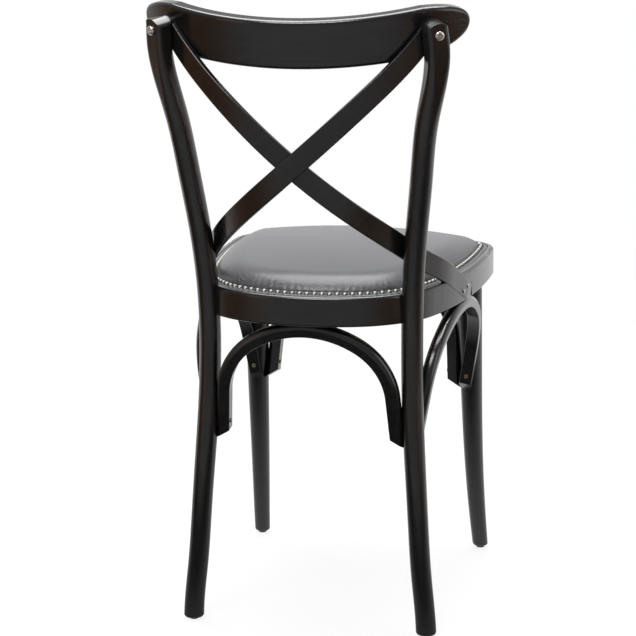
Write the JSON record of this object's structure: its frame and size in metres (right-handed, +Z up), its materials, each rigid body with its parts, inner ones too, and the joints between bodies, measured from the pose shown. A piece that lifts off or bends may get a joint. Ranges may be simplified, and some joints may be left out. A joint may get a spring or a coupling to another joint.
{
  "type": "bentwood chair",
  "caption": "Bentwood side chair with crossed back slats, a curved crest rail, arches under the seat and an upholstered seat edged with nails.",
  "frame": {"origin": "on the floor, below the middle of the chair's bounding box", "axes": "+Z up, the sitter faces -Y, the crest rail is at +Y, +X is the sitter's left; the chair is mirrored about X = 0 apart from which slat lies in front"},
  "size_m": [0.4434, 0.5063, 0.8754],
  "materials": {
    "black_lacquer": "satin black lacquer over beech, faint grain",
    "brass_screw": "slightly dull brass coating",
    "bright_bolt": "bright plated",
    "hidden_steel": "plain zinc plated steel",
    "glide_plastic": "matt dark brown",
    "nickel_nail": "polished nickel, slightly aged",
    "plywood": "bare plywood",
    "grey_leather": "fine pebbled grain, satin",
    "foam": "cut polyurethane foam",
    "steel_screw": "plated, slotted heads"
  },
  "bodies": {
    "root": {"arch_front": "black_lacquer", "arch_left": "black_lacquer", "arch_rear": "black_lacquer", "arch_right": "black_lacquer", "arch_screws_front": "brass_screw", "arch_screws_left": "brass_screw", "arch_screws_rear": "brass_screw", "arch_screws_right": "brass_screw", "crest_bolt_left": "bright_bolt", "crest_bolt_right": "bright_bolt", "crest_insert_left": "hidden_steel", "crest_insert_right": "hidden_steel", "crest_rail": "black_lacquer", "cross_slat_front": "black_lacquer", "cross_slat_rear": "black_lacquer", "front_leg_left": "black_lacquer", "front_leg_right": "black_lacquer", "glide_front_left": "glide_plastic", "glide_front_right": "glide_plastic", "glide_rear_left": "glide_plastic", "glide_rear_right": "glide_plastic", "nailhead_trim": "nickel_nail", "rear_post_left": "black_lacquer", "rear_post_right": "black_lacquer", "ring_bolt_left": "hidden_steel", "ring_bolt_right": "hidden_steel", "seat_board": "plywood", "seat_cover": "grey_leather", "seat_foam": "foam", "seat_ring": "black_lacquer", "seat_screws": "steel_screw", "slat_screws_left": "steel_screw", "slat_screws_right": "steel_screw"}
  },
  "joints": []
}
